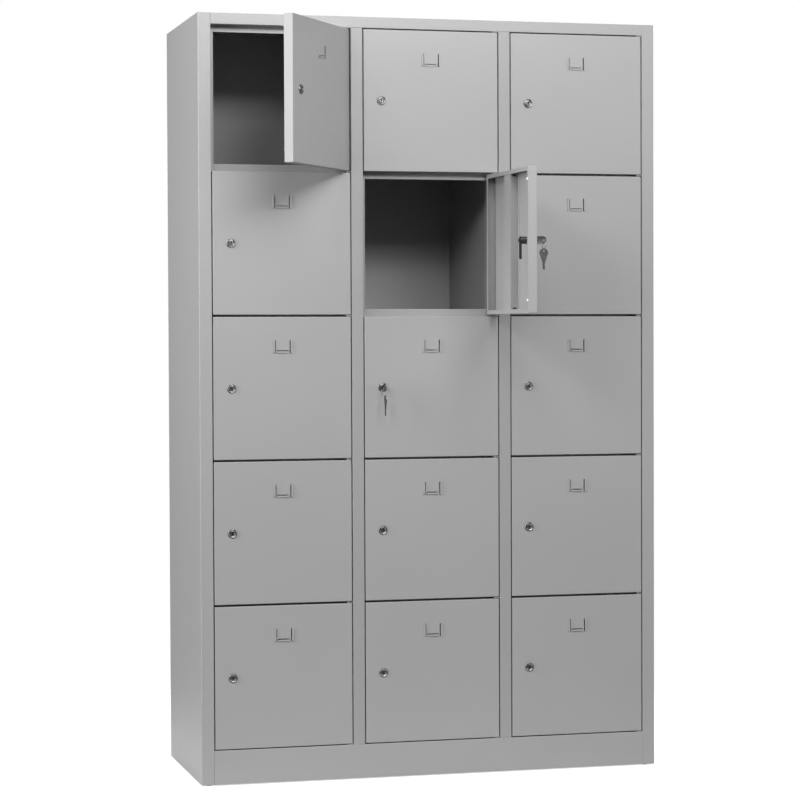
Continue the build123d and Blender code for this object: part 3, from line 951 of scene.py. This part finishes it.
@dataclass
class Studio:
    """Floor, surround, lamps and camera."""

    floor_radius: float = 1.7
    floor_white: float = 0.55
    floor_glow: float = 0.72
    surround: float = 0.04
    camera_at: tuple[float, float, float] = (-1.624, -6.361, 1.075)
    yaw: float = 14.628
    pitch: float = -1.431
    roll: float = -0.222
    lens: float = 112.92

    def lamps(self) -> list[Softbox]:
        """The softboxes: three high in front, one on each side, and two for the top and the back."""
        return [
            Softbox("key", (0.0, -2.4, 2.8), (0.0, -0.45, 1.0), (1.6, 1.0), 44.0),
            Softbox("key_left", (-2.4, -3.0, 3.0), (0.0, -0.45, 1.0), (1.2, 0.8), 51.0),
            Softbox("key_far", (0.4, -4.5, 3.2), (0.0, -0.45, 0.85), (2.4, 0.8), 78.0),
            Softbox("side_left", (-3.2, -0.9, 1.7), (-0.575, -0.2, 0.95), (1.5, 2.2), 120.0),
            Softbox("side_right", (3.2, -3.0, 1.6), (0.0, -0.45, 0.8), (1.5, 2.0), 42.0),
            Softbox("overhead", (0.2, 1.2, 3.9), (0.0, 0.0, 1.85), (1.6, 1.0), 60.0),
            Softbox("rear", (0.4, 3.4, 1.8), (0.0, 0.0, 1.0), (1.6, 1.6), 60.0),
        ]

    def floor(self) -> bpy.types.Object:
        """A pale round floor that fades into the white surround."""
        deselect_all()
        bpy.ops.mesh.primitive_circle_add(vertices=96, radius=self.floor_radius, fill_type="NGON")
        floor = added("floor")
        nodes = Nodes("pale floor")
        tree = nodes.tree
        nodes.shader.inputs["Roughness"].default_value = 0.8
        white = Vector((self.floor_white,) * 3)
        nodes.tint(nodes.spread(nodes.noise(2.0), 0.0, 1.0), white * 0.995, white * 1.005)
        nodes.shader.inputs["Emission Color"].default_value = (1, 1, 1, 1)
        rays = tree.nodes.new("ShaderNodeLightPath")
        glow = tree.nodes.new("ShaderNodeMath")
        glow.operation = "MULTIPLY"
        glow.inputs[1].default_value = self.floor_glow
        nodes.link(rays.outputs["Is Camera Ray"], glow.inputs[0])
        nodes.link(glow.outputs[0], nodes.shader.inputs["Emission Strength"])
        distance = tree.nodes.new("ShaderNodeVectorMath")
        distance.operation = "LENGTH"
        nodes.link(nodes.place, distance.inputs[0])
        fade = tree.nodes.new("ShaderNodeMapRange")
        fade.interpolation_type = "SMOOTHSTEP"
        fade.inputs["From Min"].default_value = 0.35 * self.floor_radius
        fade.inputs["From Max"].default_value = 0.98 * self.floor_radius
        fade.inputs["To Min"].default_value, fade.inputs["To Max"].default_value = 1.0, 0.0
        nodes.link(distance.outputs["Value"], fade.inputs["Value"])
        nodes.link(fade.outputs["Result"], nodes.shader.inputs["Alpha"])
        floor.data.materials.append(nodes.material)
        return floor

    def world(self) -> None:
        """A white surround to look at, dimmer as a light."""
        world = bpy.data.worlds.new("surround")
        bpy.context.scene.world = world
        world.use_nodes = True
        tree = world.node_tree
        dim = tree.nodes["Background"]
        dim.inputs["Color"].default_value = (1, 1, 1, 1)
        dim.inputs["Strength"].default_value = self.surround
        white = tree.nodes.new("ShaderNodeBackground")
        white.inputs["Color"].default_value = (1, 1, 1, 1)
        white.inputs["Strength"].default_value = 1.0
        rays = tree.nodes.new("ShaderNodeLightPath")
        mix = tree.nodes.new("ShaderNodeMixShader")
        tree.links.new(rays.outputs["Is Camera Ray"], mix.inputs[0])
        tree.links.new(dim.outputs[0], mix.inputs[1])
        tree.links.new(white.outputs[0], mix.inputs[2])
        tree.links.new(mix.outputs[0], tree.nodes["World Output"].inputs["Surface"])

    def camera(self) -> bpy.types.Object:
        """The camera, left of the locker and level with its middle."""
        yaw, pitch, roll = (math.radians(a) for a in (self.yaw, self.pitch, self.roll))
        forward = Vector((math.sin(yaw) * math.cos(pitch), math.cos(yaw) * math.cos(pitch), math.sin(pitch)))
        right = Vector((math.cos(yaw), -math.sin(yaw), 0))
        up = right.cross(forward)
        right, up = right * math.cos(roll) + up * math.sin(roll), up * math.cos(roll) - right * math.sin(roll)
        deselect_all()
        bpy.ops.object.camera_add(location=self.camera_at)
        camera = bpy.context.object
        camera.name = "studio_camera"
        camera.rotation_euler = Matrix((right, up, -forward)).transposed().to_euler()
        camera.data.lens = self.lens
        camera.data.sensor_width = 36.0
        camera.data.clip_end = 100.0
        bpy.context.scene.camera = camera
        return camera

    def build(self) -> None:
        """Sets up the studio."""
        bpy.context.scene.view_settings.view_transform = "Standard"
        self.camera()
        self.floor()
        self.world()
        for lamp in self.lamps():
            lamp.build()


def main() -> None:
    """Builds the studio and the locker, and reports each piece."""
    logging.basicConfig(level=logging.INFO, format="%(message)s")
    Studio().build()
    pieces = Cabinet().build()
    for place in DOORS:
        pieces += Door(place).build()
    pieces += CamLock().build()
    for place in KEYED:
        pieces += KeySet(place).build()
    for piece in pieces:
        LOG.info("%s: %d faces", piece.name, len(piece.data.polygons))
    deselect_all()


if __name__ == "__main__":
    main()
